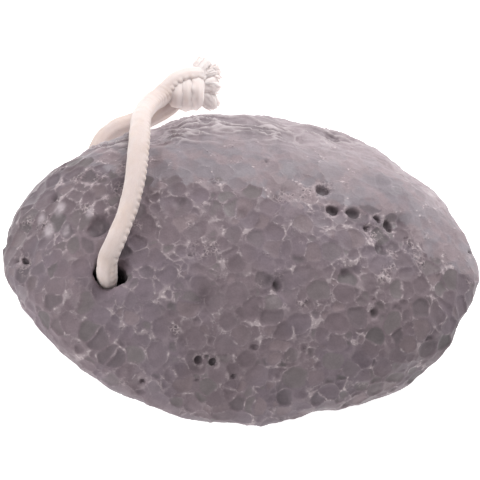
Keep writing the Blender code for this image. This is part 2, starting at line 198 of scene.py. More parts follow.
# The cord's route: from the knot over the stone's back, down the hole, out under that end and back.
CORD_ROUTE = millimetres(
    (-16.2, 44.2, 6.8), (-17.4, 42.8, 7.6), (-18.8, 40.8, 9.9), (-19.8, 37.8, 14.2),
    (-20.4, 34.6, 19.6), (-20.7, 31.0, 26.4), (-20.8, 26.8, 31.6), (-20.9, 20.8, 36.2),
    (-21.4, 13.0, 38.8), (-22.9, 5.6, 39.6), (-25.0, -0.6, 39.7), (-26.6, -4.0, 38.7),
    (-27.1, -5.7, 36.3), (-27.1, -6.6, 33.0), (-27.4, -6.75, 28.0), (-28.1, -6.6, 20.0),
    (-29.0, -6.4, 12.5), (-29.4, -6.1, 8.4), (-29.8, -4.0, 4.9), (-30.3, -0.8, 3.0),
    (-31.0, 4.5, 2.45), (-31.8, 12.0, 2.45), (-32.2, 20.0, 2.45), (-31.6, 28.0, 2.45),
    (-30.0, 34.3, 2.45), (-27.2, 37.4, 2.45), (-24.0, 38.8, 2.45), (-20.4, 40.0, 2.45),
    (-16.2, 42.4, 2.45),
)

# The knot's strands, all squeezed. The upper leg goes on from the cord's first point and crowns the knot,
# and the lower leg goes on from its last point. A helix of the same cord wraps them: it starts a share of
# a turn early, and leans by a share of its radius.
UPPER_LEG = millimetres(
    (-15.0, 45.8, 6.75), (-13.4, 47.3, 7.1), (-11.4, 48.2, 7.4),
    (-9.5, 48.4, 7.0), (-8.3, 48.6, 6.4),
)
LOWER_LEG = millimetres((-13.6, 44.0, 3.6), (-11.0, 45.0, 4.5), (-8.2, 45.6, 4.6))
LEG_SQUEEZE = 0.82
WRAP_START, WRAP_END = millimetres((-13.9, 45.0, 4.35), (-9.0, 45.7, 4.35))
WRAP_RADIUS = 2.5 * MM
WRAP_CORD_RADIUS = 1.6 * MM
WRAP_TURNS = 2.35
WRAP_LEAD = 0.2
WRAP_LEAN = 0.12
WRAP_STEPS = 24

# Each frayed end has a route and its half-thickness along it, in millimetres. It is a core with yarns and
# hairs round it: half a thickness in millimetres, least and most reach along the end, sides and number.
# Their random draws start from TANGLE_SEED.
TAILS = (
    (((-9.0, 47.4, 6.4), (-8.4, 49.1, 6.2), (-8.0, 51.0, 5.9), (-7.8, 53.2, 5.6)), (1.7, 2.1, 2.3, 1.7)),
    (((-9.6, 45.8, 4.9), (-7.8, 46.6, 4.9), (-6.0, 47.0, 4.7), (-4.0, 47.1, 4.4)), (2.0, 2.4, 2.7, 2.3)),
    (((-9.2, 45.6, 4.4), (-7.6, 44.6, 3.9), (-6.2, 43.4, 3.3), (-5.1, 41.9, 2.8)), (1.9, 2.1, 2.0, 1.3)),
    (((-8.8, 47.4, 5.8), (-7.0, 48.8, 5.8), (-5.6, 49.8, 5.6), (-4.2, 50.6, 5.4)), (1.6, 1.9, 1.8, 1.1)),
)
TANGLE_SEED = 11
YARNS = (0.62, 0.70, 0.98, 8, 16)
HAIRS = (0.08, 0.85, 1.04, 4, 60)

# Where along the cord's pattern the wrap starts, and how far apart the frayed ends start.
WRAP_PATTERN_START = 67 * MM
TAIL_PATTERN_STEP = 17 * MM

# How much painted light whitens the cotton: up to this much on the crown, which grows over a stretch of Y,
# and on the wrap.
CROWN_PAINTED_LIGHT = 0.65
CROWN_LIGHT_FROM = 44 * MM
CROWN_LIGHT_OVER = 4 * MM
WRAP_PAINTED_LIGHT = 0.75

# The cord's mesh: the distance between its rings, and the sides of the cord and of the wrap.
RING_SPACING = 0.28 * MM
CORD_SIDES = 44
WRAP_SIDES = 40
# The cord and the knot's legs run into each other by this many rings.
OVERLAP = 2

# The seam of loops that runs along the cord: its place round the cord and its width, both in radians, and
# the length of a loop.
SEAM_ANGLE = 1.65
SEAM_WIDTH = 0.30
SEAM_STITCH = 1.5 * MM

# Whiter cotton for the frayed ends, partly painted light, and painted light on the knot's crown and wrap.
FRAYED_AND_PAINTED_LIGHT_COTTON = (0.93, 0.84, 0.815, 1.0)
WHITE = (1.0, 1.0, 1.0, 1.0)

# The point that the camera and the lights look at.
AIM = Vector((-0.1, 6.35, 19.0)) * MM


def size_setting(name, description, default):
    return bpy.props.FloatProperty(name=name, description=description, default=default, unit="LENGTH")


def colour_setting(name, description, default):
    return bpy.props.FloatVectorProperty(
        name=name, description=description, default=default, subtype="COLOR"
    )


class StoneSettings(bpy.types.PropertyGroup):
    """What a user would change on the stone."""

    bubble: size_setting("Bubble", "Usual width of a bubble", 3.9 * MM)
    relief: size_setting("Relief", "Depth of a cut bubble's hollow", 0.26 * MM)
    fineness: size_setting("Fineness", "Size of the skin's faces", 0.465 * MM)
    base: colour_setting("Base", "Colour of the foam", (0.171, 0.129, 0.145))
    wall: colour_setting("Wall", "Colour of bubble walls", (0.335, 0.275, 0.290))
    # pit is the colour of the painted shade in burst bubbles and the hole, and of small dark specks.
    pit: colour_setting("Pit", "Colour inside burst bubbles", (0.098, 0.078, 0.088))


class CordSettings(bpy.types.PropertyGroup):
    """What a user would change on the cord."""

    radius: size_setting("Radius", "Half the cord's thickness", 2.1 * MM)
    yarn: size_setting("Yarn relief", "Depth of the furrows between yarns", 0.20 * MM)
    cotton: colour_setting("Cotton", "Colour of the cord", (0.632, 0.532, 0.505))


class StudioSettings(bpy.types.PropertyGroup):
    """What a user would change on the studio."""

    elevation: bpy.props.FloatProperty(
        name="Elevation", description="Camera's height over the horizon", default=math.radians(70),
        subtype="ANGLE",
    )
    distance: size_setting("Distance", "From the camera to the stone", 0.9)
    picture_width: size_setting("Picture width", "Width that the picture takes in", 99.8 * MM)


# --- Node helpers: the same calls build the foam in a material and in a geometry tree ---


class Nodes:
    """Adds nodes to one tree and links what it is given."""

    def __init__(self, tree):
        self.tree = tree

    def add(self, kind, values=(), **settings):
        """A node with its settings, and its inputs by name or number, as numbers or links."""
        node = self.tree.nodes.new(kind)
        for name, value in settings.items():
            setattr(node, name, value)
        self.fill(node, values)
        return node

    def fill(self, node, values):
        for name, value in dict(values).items():
            if isinstance(value, bpy.types.NodeSocket):
                self.tree.links.new(value, node.inputs[name])
            else:
                node.inputs[name].default_value = value

    def math(self, operation, *values):
        return self.add("ShaderNodeMath", enumerate(values), operation=operation).outputs[0]

    def times(self, first, second):
        return self.math("MULTIPLY", first, second)

    def times_plus(self, value, factor, addend):
        return self.math("MULTIPLY_ADD", value, factor, addend)

    def centred(self, value):
        """A value that runs from 0 to 1, moved to run from -0.5 to 0.5."""
        return self.math("SUBTRACT", value, 0.5)

    def vector_math(self, operation, *values, output=0):
        return self.add("ShaderNodeVectorMath", enumerate(values), operation=operation).outputs[output]

    def scaled(self, vector, factor):
        values = {0: vector, "Scale": factor}
        return self.add("ShaderNodeVectorMath", values, operation="SCALE").outputs[0]

    def fade(self, value, low, high, start=0.0, end=1.0):
        """A smooth step of value between low and high, from start to end."""
        names = {"Value": value, "From Min": low, "From Max": high, "To Min": start, "To Max": end}
        return self.add("ShaderNodeMapRange", names, interpolation_type="SMOOTHSTEP").outputs[0]

    def mix(self, factor, first, second):
        """Two colours mixed by a factor."""
        return self.add("ShaderNodeMix", {0: factor, 6: first, 7: second}, data_type="RGBA").outputs[2]

    def noise(self, place, size, detail=2.0, roughness=0.5, output=0):
        """Fractal noise of features of this size, in metres."""
        values = {"Vector": place, "Scale": 1.0 / size, "Detail": detail, "Roughness": roughness}
        return self.add("ShaderNodeTexNoise", values).outputs[output]

    def noise_shift(self, place, size, detail, reach):
        """A random vector for each place, up to half of reach long each way."""
        drawn = self.vector_math("SUBTRACT", self.noise(place, size, detail, output="Color"), (0.5,) * 3)
        return self.scaled(drawn, reach)

    def cells(self, place, size, feature="F1", randomness=1.0):
        """Cells of this size, in metres. Distances come back in metres too."""
        values = {"Vector": place, "Scale": 1.0 / size, "Randomness": randomness}
        node = self.add("ShaderNodeTexVoronoi", values, feature=feature)
        return self.times(node.outputs["Distance"], size), node

    def named(self, name, output="Fac"):
        """A value kept on the mesh, in a material."""
        return self.add("ShaderNodeAttribute", attribute_name=name).outputs[output]


def rgba(colour):
    return (*colour, 1.0)


def new_material(name):
    """A material, its nodes, and its shader."""
    material = bpy.data.materials.new(name)
    material.use_nodes = True
    return material, Nodes(material.node_tree), material.node_tree.nodes["Principled BSDF"]


def packed_bubbles(nodes, place, size, share):
    """Round bubbles packed at one size, with a radius of at least this share of it.

    Gives the distance outside the nearest one's round wall (negative inside it), the distance to the flat
    wall it shares, and its three random values."""
    from_middle, cell = nodes.cells(place, size, randomness=0.85)
    to_wall, _ = nodes.cells(place, size, feature="DISTANCE_TO_EDGE", randomness=0.85)
    own = nodes.add("ShaderNodeSeparateXYZ", {0: cell.outputs["Color"]}).outputs
    radius = nodes.times_plus(own[0], RANDOM_SHARE * size, share * size)
    return nodes.math("SUBTRACT", from_middle, radius), to_wall, own


def foam_pattern(nodes, place, bubble):
    """The slice through foam, from a place in the stone: big bubbles, with small ones in the gaps.

    Gives what packed_bubbles does, for whichever bubble the place belongs to."""
    bent = nodes.vector_math("ADD", place, nodes.noise_shift(place, 2.8 * MM, 1.5, BEND))
    bent = nodes.vector_math("ADD", bent, nodes.noise_shift(place, 21 * MM, 0.0, DRIFT))
    turn = {"Vector": bent, "Rotation": FOAM_TURN}
    turned = nodes.add("ShaderNodeVectorRotate", turn, rotation_type="EULER_XYZ").outputs[0]
    outside, to_wall, own = packed_bubbles(nodes, turned, bubble, BUBBLE_SHARE)
    small_size = SMALL_BUBBLE * bubble
    outside_small, to_small_wall, own_small = packed_bubbles(nodes, turned, small_size, SMALL_BUBBLE_SHARE)
    between = nodes.math("GREATER_THAN", outside, 0.0)
    hemmed = nodes.math("MAXIMUM", outside_small, nodes.times(outside, -1.0))

    def pick(big, small):
        return nodes.times_plus(between, nodes.math("SUBTRACT", small, big), big)

    values = [pick(big, small) for big, small in zip(own, own_small)]
    return nodes.math("MINIMUM", outside, hemmed), pick(to_wall, to_small_wall), values


# --- Modelling helpers ---


def select_only(*objects):
    bpy.ops.object.select_all(action="DESELECT")
    for obj in objects:
        obj.select_set(True)
    bpy.context.view_layer.objects.active = objects[0]


def apply_modifier(obj, kind, **settings):
    """Add a modifier, set it up and apply it."""
    select_only(obj)
    bpy.ops.object.modifier_add(type=kind)
    modifier = obj.modifiers[-1]
    for name, value in settings.items():
        setattr(modifier, name, value)
    bpy.ops.object.modifier_apply(modifier=modifier.name)


def duplicate(obj):
    select_only(obj)
    bpy.ops.object.duplicate()
    return bpy.context.active_object


def copy_of_node(name, new_name):
    """A piece of its own with the shape of a CAD node, its triangles joined at their corners."""
    piece = duplicate(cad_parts[name])
    piece.name = new_name
    piece.data.name = new_name
    bpy.ops.object.mode_set(mode="EDIT")
    bpy.ops.mesh.select_all(action="SELECT")
    bpy.ops.mesh.remove_doubles(threshold=SAME_CORNER)
    bpy.ops.object.mode_set(mode="OBJECT")
    return piece


def remesh(obj, size):
    """Give the piece an even net of faces of this size."""
    select_only(obj)
    obj.data.remesh_voxel_size = size
    obj.data.remesh_voxel_adaptivity = 0.0
    bpy.ops.object.voxel_remesh()


def cut_out(obj, cutter):
    apply_modifier(obj, "BOOLEAN", operation="DIFFERENCE", solver="EXACT", object=cutter, use_self=True)
    bpy.data.objects.remove(cutter)


def ball(centre, half_sizes, turn=(0.0, 0.0, 0.0)):
    bpy.ops.mesh.primitive_ico_sphere_add(
        subdivisions=4, radius=1.0, location=centre, rotation=turn, scale=half_sizes
    )
    return bpy.context.active_object


def join(objects):
    select_only(*objects)
    bpy.ops.object.join()
    return bpy.context.active_object


def finish_piece(obj, material, node):
    """One material, smooth faces, and its place in the frame."""
    obj.data.materials.clear()
    obj.data.materials.append(material)
    select_only(obj)
    bpy.ops.object.shade_smooth()
    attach(obj, "root")
    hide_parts(node)


# --- The stone ---


def smooth_blank():
    """The pebble without its cells, worn smooth, from the solid's own form."""
    blank = copy_of_node("pumice_stone", "pumice")
    remesh(blank, BLANK_FINENESS)
    apply_modifier(blank, "SMOOTH", factor=0.5, iterations=BLANK_SMOOTHING)
    apply_modifier(blank, "DISPLACE", strength=BLANK_SWELLING, mid_level=0.0)
    return blank


def drill(stone):
    """Cut the cord's hole again, with its two worn mouths."""
    axis = HOLE_TOP - HOLE_BOTTOM
    turn = axis.to_track_quat("Z", "X").to_euler()
    middle, size = (HOLE_TOP + HOLE_BOTTOM) / 2, (*HOLE_HALF_SIZES, axis.length)
    bpy.ops.mesh.primitive_cylinder_add(
        vertices=64, radius=1.0, depth=1.0, location=middle, rotation=turn, scale=size
    )
    cutters = [bpy.context.active_object]
    cutters += [ball(centre, half_sizes) for centre, half_sizes in MOUTHS]
    cut_out(stone, join(cutters))


def burst_bubbles(stone):
    """Hollow out the burst bubbles, square to the skin where each one is."""
    cutters = []
    for x, y, width, length, depth in BURST_BUBBLES:
        above = Vector((x * MM, y * MM, CAD_BOX[1].z))
        hit, place, normal, _ = stone.ray_cast(above, Vector((0, 0, -1)))
        if not hit:
            raise RuntimeError(f"no skin under the burst bubble at {x}, {y}")
        radius = max(width, length) / 2
        squash = Vector((width / 2, length / 2, max(depth * 0.85, radius * 0.8))) * MM
        centre = place + normal * (squash.z - depth * MM) * 0.8
        cutters.append(ball(centre, squash, normal.to_track_quat("Z", "Y").to_euler()))
    cut_out(stone, join(cutters))


def named_value(nodes, name):
    """A value kept on the mesh, in a geometry tree."""
    return nodes.add("GeometryNodeInputNamedAttribute", {"Name": name}, data_type="FLOAT").outputs[0]


def wrinkles(nodes, place):
    """Long thin ridges that run across the stone, from 0 between them to 1 on a crest."""
    bent = nodes.vector_math("ADD", place, nodes.noise_shift(place, 8 * MM, 1.0, 6 * MM))
    drawn_out = nodes.vector_math("MULTIPLY", bent, (0.22, 1.0, 1.0))
    field = nodes.noise(drawn_out, 2.5 * MM, detail=1.0)
    off_crest = nodes.math("ABSOLUTE", nodes.centred(field))
    return nodes.fade(off_crest, 0.0, 0.085, 1.0, 0.0)


def relief_height(nodes, place, bubble, depth):
    """How far each point of the stone's skin moves out."""
    outside, to_wall, own = foam_pattern(nodes, place, bubble)
    bowl = nodes.fade(outside, -0.60 * MM, 0.06 * MM, 1.0, 0.0)
    shared = nodes.fade(to_wall, 0.0, 0.50 * MM)
    worn = nodes.fade(named_value(nodes, "shoulder"), -1.0 * MM, 2.0 * MM, 1.0, 0.42)
    deep = nodes.times_plus(own[1], 0.9, 0.5)
    sunk = nodes.times(nodes.times(bowl, shared), nodes.times(worn, deep))
    height = nodes.times_plus(sunk, -depth, named_value(nodes, "swelling"))
    fine = nodes.centred(nodes.noise(place, 0.9 * MM))
    height = nodes.times_plus(fine, GRAIN_HEIGHT, height)
    lumpy = nodes.centred(nodes.noise(place, 7 * MM))
    height = nodes.times_plus(lumpy, LUMP_HEIGHT, height)
    loops, _ = nodes.cells(place, 1.1 * MM, feature="DISTANCE_TO_EDGE")
    loop_height = nodes.fade(loops, 0.05 * MM, 0.35 * MM, 0.10 * MM, -0.20 * MM)
    height = nodes.math("ADD", height, nodes.times(loop_height, named_value(nodes, "froth")))
    folds = nodes.times(wrinkles(nodes, place), named_value(nodes, "wrinkle"))
    return nodes.times_plus(folds, FOLD_HEIGHT, height)


def relief_group(bubble, depth):
    """Geometry Nodes group that keeps each point's first place and raises the foam's relief."""
    group = bpy.data.node_groups.new("foam relief", "GeometryNodeTree")
    for way in ("INPUT", "OUTPUT"):
        group.interface.new_socket("Geometry", in_out=way, socket_type="NodeSocketGeometry")
    nodes = Nodes(group)
    entry = nodes.add("NodeGroupInput").outputs[0]
    place = nodes.add("GeometryNodeInputPosition").outputs[0]
    kept = nodes.add(
        "GeometryNodeStoreNamedAttribute",
        {"Geometry": entry, "Name": "skin_place", "Value": place},
        data_type="FLOAT_VECTOR",
        domain="POINT",
    ).outputs[0]
    height = relief_height(nodes, place, bubble, depth)
    normal = nodes.add("GeometryNodeInputNormal").outputs[0]
    step = nodes.scaled(normal, height)
    moved = nodes.add("GeometryNodeSetPosition", {"Geometry": kept, "Offset": step}).outputs[0]
    nodes.add("NodeGroupOutput", {0: moved})
    return group


def bubble_colour(nodes, place, own, inside, base):
    """Two broad tones of foam, and bubbles that are pinker, greener or darker than the rest."""
    broad = nodes.noise(place, 13 * MM)
    colour = nodes.mix(nodes.fade(broad, 0.42, 0.62, 0.0, 0.7), base, VIOLET_FOAM)
    for chance, first, last, strength, other in (
        (own[2], 0.72, 0.95, 0.6, PINK_BUBBLE),
        (own[2], 0.28, 0.05, 0.7, GREEN_BUBBLE),
        (own[1], 0.78, 0.97, 0.45, DARK_BUBBLE),
    ):
        share = nodes.times(nodes.fade(chance, first, last, 0.0, strength), inside)
        colour = nodes.mix(share, colour, other)
    return colour


def front_tone(nodes, place):
    """Tone of the open front: painted light near the hole's end, painted shade at the far end, and darker
    towards the back.
    """
    along = nodes.vector_math("DOT_PRODUCT", place, (1.0, 0.25, 0.0), output=1)
    over = nodes.vector_math("DOT_PRODUCT", place, (-0.45, 0.9, 0.0), output=1)
    painted_light_near_hole = nodes.fade(along, -36 * MM, -12 * MM, 1.12, 1.0)
    painted_shade_far_end = nodes.fade(along, 18 * MM, 42 * MM, 1.0, 0.91)
    towards_back = nodes.fade(over, 8 * MM, 26 * MM, 1.0, 0.78)
    return along, nodes.times(nodes.times(painted_light_near_hole, painted_shade_far_end), towards_back)


def rubbed_back(nodes, place, own, inside, cloudy, along):
    """Where the skin is rubbed, with an edge that follows the bubbles, and its colour there.

    That colour is dust, and further down the back a painted sheen, paler towards the far end than near the
    hole."""
    shoulder = nodes.named("shoulder")
    edge = nodes.times_plus(nodes.centred(own[2]), 3.0 * MM, shoulder)
    edge = nodes.times_plus(nodes.centred(cloudy), 5.0 * MM, edge)
    rubbed = nodes.fade(edge, -0.4 * MM, 0.5 * MM)
    back_colour = nodes.mix(nodes.fade(nodes.noise(place, 4.2 * MM), 0.42, 0.58), WARM_DUST, COLD_DUST)
    in_bubble = nodes.times(nodes.fade(own[0], 0.45, 0.95, 0.0, 0.6), inside)
    back_colour = nodes.mix(in_bubble, back_colour, DUSTY_BUBBLE)
    # worn is the painted sheen further down the back, paler towards the far end.
    worn = nodes.mix(nodes.fade(along, 8 * MM, 32 * MM), PAINTED_SHEEN_NEAR_HOLE, PAINTED_SHEEN_FAR_END)
    return rubbed, nodes.mix(nodes.fade(shoulder, 8 * MM, 19 * MM, 0.0, 0.80), back_colour, worn)


def pale_walls(nodes, place, outside, to_wall, broken):
    """Pale corners between round bubbles, and thin broken walls, from 0 to a little over 1."""
    frayed = nodes.times_plus(nodes.centred(broken), 1.1 * MM, outside)
    corners = nodes.times(nodes.fade(frayed, -0.22 * MM, 0.30 * MM), 0.9)
    thin = nodes.fade(to_wall, 0.0, 0.36 * MM, 0.85, 0.0)
    walls = nodes.times(thin, nodes.fade(broken, 0.45, 0.62, 0.0, 0.85))
    kept = nodes.fade(nodes.noise(place, 3.4 * MM, detail=1.0), 0.40, 0.57, 0.28, 1.12)
    return nodes.times(nodes.math("MAXIMUM", walls, corners), kept)


def froth(nodes, place):
    """Where there is froth, its fine walls, and the bubbles of it that are dark."""
    stray = nodes.fade(nodes.noise(place, 5.5 * MM, detail=1.0), 0.66, 0.74, 0.0, 0.6)
    frothy = nodes.math("MAXIMUM", stray, nodes.named("froth"))
    frothy = nodes.times(frothy, nodes.fade(nodes.noise(place, 1.4 * MM), 0.40, 0.56))
    to_edge, _ = nodes.cells(place, 0.72 * MM, feature="DISTANCE_TO_EDGE")
    walls = nodes.fade(to_edge, 0.02 * MM, 0.17 * MM, 0.75, 0.0)
    middle, cell = nodes.cells(place, 0.72 * MM)
    chance = nodes.add("ShaderNodeSeparateColor", {0: cell.outputs["Color"]}).outputs[0]
    specks = nodes.times(nodes.fade(middle, 0.18 * MM, 0.36 * MM, 1.0, 0.0), nodes.fade(chance, 0.6, 0.7))
    return frothy, walls, specks


def pumice_material(settings):
    """Grey foam: round cells of nearly one tone, pale corners and broken pale walls between them, a
    paler rubbed back with painted sheen further down it, froth, folds with pale crests that carry painted
    highlights and painted shade between them, painted highlights at the left end, painted light and shade
    across the open front, and painted shade in burst bubbles and the hole."""
    material, nodes, shader = new_material("pumice foam")
    mix, fade, times = nodes.mix, nodes.fade, nodes.times
    shade_and_speck_colour = rgba(settings.pit)

    place = nodes.named("skin_place", "Vector")
    outside, to_wall, own = foam_pattern(nodes, place, settings.bubble)
    cloudy = nodes.noise(place, 3.0 * MM, detail=3.0, roughness=0.6)
    broken = nodes.noise(place, 1.9 * MM, detail=3.0, roughness=0.65)
    grain = nodes.noise(place, 0.38 * MM)
    crumb = nodes.noise(place, 0.55 * MM, detail=1.0)

    # A bubble's own colour and tone fade out at its round wall.
    inside = times(fade(to_wall, 0.02 * MM, 0.45 * MM), fade(outside, 0.0, -0.35 * MM))
    colour = bubble_colour(nodes, place, own, inside, rgba(settings.base))
    tone = times(fade(cloudy, 0.25, 0.75, 0.90, 1.10), fade(grain, 0.3, 0.7, 0.95, 1.05))
    own_tone = times(nodes.math("SUBTRACT", own[0], 0.55), 0.13)
    tone = times(tone, nodes.times_plus(own_tone, inside, 1.0))

    # The front's tones, partly painted light and shade, end where the rubbed back starts.
    along, front = front_tone(nodes, place)
    rubbed, back_colour = rubbed_back(nodes, place, own, inside, cloudy, along)
    unchanged = times(rubbed, nodes.math("SUBTRACT", 1.0, front))
    tone = times(tone, nodes.math("ADD", unchanged, front))
    # The rubbed back's dust, with painted sheen further down it.
    colour = mix(times(rubbed, 0.92), colour, back_colour)
    colour = nodes.scaled(colour, tone)

    # Walls, with bright crumbs and dark specks on them.
    pale = pale_walls(nodes, place, outside, to_wall, broken)
    sparkle = times(fade(crumb, 0.55, 0.66), fade(pale, 0.40, 0.80))
    specks = times(fade(crumb, 0.34, 0.27), fade(pale, 0.15, 0.5, 0.0, 0.65))

    # Froth has fine bright loops, broken up, and dark specks. Folds have crests of pale film with a painted
    # highlight, and painted shade between them.
    frothy, froth_walls, froth_specks = froth(nodes, place)
    bright = times(froth_walls, fade(crumb, 0.38, 0.60, 0.35, 1.0))
    crests, wrinkle = wrinkles(nodes, place), nodes.named("wrinkle")
    folds = times(crests, wrinkle)
    trough_shade = times(nodes.math("SUBTRACT", 1.0, crests), wrinkle)
    for share, layer in (
        (times(pale, fade(rubbed, 0.0, 1.0, 1.0, 0.25)), rgba(settings.wall)),
        (times(sparkle, 0.8), CRUMB),
        (specks, shade_and_speck_colour),
        (times(bright, frothy), FROTH_WALL),
        (times(froth_specks, frothy), shade_and_speck_colour),
        # Painted shade between the folds, and pale film with a painted highlight on their crests.
        (times(fade(trough_shade, 0.7, 1.0), 0.45), TROUGH_PAINTED_SHADE),
        (times(folds, 0.80), CREST_FILM_AND_HIGHLIGHT),
        (times(nodes.named("rim"), fade(broken, 0.44, 0.60, 0.0, 0.8)), PIT_RIM),
        # Painted highlights at the left end.
        (times(nodes.named("highlight_spot"), fade(cloudy, 0.35, 0.6, 0.45, 1.0)), PAINTED_HIGHLIGHT),
        # Painted shade: darker the deeper a place lies under the smooth skin, in burst bubbles and the
        # hole.
        (nodes.named("pit"), shade_and_speck_colour),
    ):
        colour = mix(share, colour, layer)

    height = times(grain, 0.06 * MM)
    loops = times(froth_walls, frothy)
    for raised, lift in ((pale, 0.10 * MM), (loops, 0.12 * MM), (folds, 0.20 * MM)):
        height = nodes.times_plus(raised, lift, height)
    bump = nodes.add("ShaderNodeBump", {"Height": height, "Strength": 0.8, "Distance": 1.0})
    nodes.fill(shader, {
        "Base Color": colour,
        "Roughness": fade(own[1], 0.0, 1.0, 0.50, 0.78),
        "Normal": bump.outputs[0],
        "Specular IOR Level": 0.4,
        "Sheen Weight": 0.12,
        "Sheen Roughness": 0.35,
    })
    return material


def nearness(places, centre, radius):
    """For each place, 1 at a centre, 0 from a radius away on, and an even fall between, in millimetres."""
    return 1.0 - np.linalg.norm(places - np.array(centre) * MM, axis=1) / (radius * MM)


def spread(places, spots):
    """For each place, how near it is to the middle of any spot: 1 at the middle, 0 outside them all."""
    value = np.zeros(len(places))
    for *centre, radius in spots:
        value = np.maximum(value, np.clip(1.6 * nearness(places, centre, radius), 0.0, 1.0))
    return value


def depths_under(skin, places):
    """How far each place lies under the smooth skin."""
    tree = BVHTree.FromObject(skin, bpy.context.evaluated_depsgraph_get())
    depths = np.zeros(len(places))
    for index, point in enumerate(places):
        nearest, normal, _, _ = tree.find_nearest(Vector(point))
        depths[index] = (nearest - Vector(point)).dot(normal)
    return depths


def rims_at(places):
    """How much of a burst bubble's pale rim there is at each place."""
    rims = np.zeros(len(places))
    for x, y, width, length, depth in BURST_BUBBLES:
        out = np.hypot((places[:, 0] / MM - x) / width, (places[:, 1] / MM - y) / length) * 2.0
        from_rim = (out - 1.0) * min(width, length) / 2.0 - RIM_DISTANCE
        strength = min(1.0, max(0.0, 2.5 * (depth - RIMLESS_DEPTH))) * (places[:, 2] > UPPER_SIDE)
        rims = np.maximum(rims, strength * np.exp(-((from_rim / RIM_WIDTH) ** 2)))
    return rims


def swelling_at(places, depths):
    """How far the skin stands out at each place, in metres."""
    swelling = np.where(depths < LIFTED_DEPTH, SKIN_LIFT, 0.0)
    for *centre, radius, height in SWELLINGS:
        share = np.clip(nearness(places, centre, radius), 0.0, 1.0)
        swelling += height * MM * share * share * (3.0 - 2.0 * share)
    return swelling


def mark_zones(stone, skin):
    """Keep on each point what its part of the stone is like, for the relief and the colours.

    pit is 1 well under the smooth skin, where shade is painted in burst bubbles and the hole. shoulder is
    how far, in plan, a point is past the rubbed back's edge, and swelling how far the skin stands out, in
    metres.
    The rest are 1 in the middle of a spot."""
    places = np.empty(3 * len(stone.data.vertices))
    stone.data.vertices.foreach_get("co", places)
    places = places.reshape(-1, 3)
    depths = depths_under(skin, places)
    edge_x, edge_y = np.array(SHOULDER_EDGE).T * MM
    shoulder = places[:, 1] - np.interp(places[:, 0], edge_x, edge_y)
    behind = np.clip((shoulder - 8 * MM) / (10 * MM), 0.0, 1.0)
    zones = {
        # Painted shade in burst bubbles and the hole.
        "pit": np.clip((depths - PIT_SHADE_START) / PIT_SHADE_FADE, 0.0, 1.0),
        "shoulder": shoulder,
        "rim": rims_at(places),
        "swelling": swelling_at(places, depths),
        "froth": spread(places, FROTH),
        # Painted highlight spots at the left end.
        "highlight_spot": spread(places * np.array(HIGHLIGHT_STRETCH), HIGHLIGHT_SPOTS),
        "wrinkle": np.maximum(spread(places * np.array(FOLD_PRESS), FOLDS), FAINT_FOLDS * behind),
    }
    for name, values in zones.items():
        stone.data.attributes.new(name, "FLOAT", "POINT").data.foreach_set("value", values)


def rest_on_floor(stone):
    """Press what the relief pushed under the floor back to it."""
    for vert in stone.data.vertices:
        vert.co.z = max(vert.co.z, 0.0)


class PUMICE_OT_stone(bpy.types.Operator):
    """Make the stone's foamed skin in place of its plain solid"""

    bl_idname = "pumice.stone"
    bl_label = "Stone"

    def execute(self, context):
        settings = context.scene.pumice_stone
        stone = smooth_blank()
        skin = duplicate(stone)
        drill(stone)
        burst_bubbles(stone)
        remesh(stone, settings.fineness)
        apply_modifier(stone, "SMOOTH", factor=0.5, iterations=1)
        mark_zones(stone, skin)
        bpy.data.objects.remove(skin)
        group = relief_group(settings.bubble, settings.relief)
        apply_modifier(stone, "NODES", node_group=group)
        rest_on_floor(stone)
        finish_piece(stone, pumice_material(settings), "pumice_stone")
        return {"FINISHED"}


# --- The cord and its knot ---


def catmull_rom(a, b, c, d, t):
    """A point between b and c on the smooth curve through all four."""
    return 0.5 * (
        2 * b
        + (c - a) * t
        + (2 * a - 5 * b + 4 * c - d) * t**2
        + (3 * b - a - 3 * c + d) * t**3
    )


def smooth_route(route, spacing):
    """Points a spacing apart on one smooth curve through the route's own points."""
    steps = 24
    padded = [2 * route[0] - route[1], *route, 2 * route[-1] - route[-2]]
    fine = [
        catmull_rom(*padded[i : i + 4], step / steps)
        for i in range(len(route) - 1)
        for step in range(steps)
    ]
    fine.append(route[-1])
    along = np.concatenate([[0.0], np.cumsum([(b - a).length for a, b in zip(fine, fine[1:])])])
    stations = np.linspace(0.0, along[-1], round(along[-1] / spacing) + 1)
    return [Vector([np.interp(s, along, [p[k] for p in fine]) for k in range(3)]) for s in stations]


def length_of(points):
    return sum((b - a).length for a, b in zip(points, points[1:]))


def frames_along(points):
    """For each point, the direction of travel and two square to it that don't twist on the way."""
    last = len(points) - 1
    tangents = [(points[min(i + 1, last)] - points[max(i - 1, 0)]).normalized() for i in range(last + 1)]
    side = tangents[0].orthogonal().normalized()
    frames = []
    for before, tangent in zip([tangents[0], *tangents], tangents):
        side = before.rotation_difference(tangent) @ side
        side = (side - tangent * side.dot(tangent)).normalized()
        frames.append((tangent, side, tangent.cross(side)))
    return frames


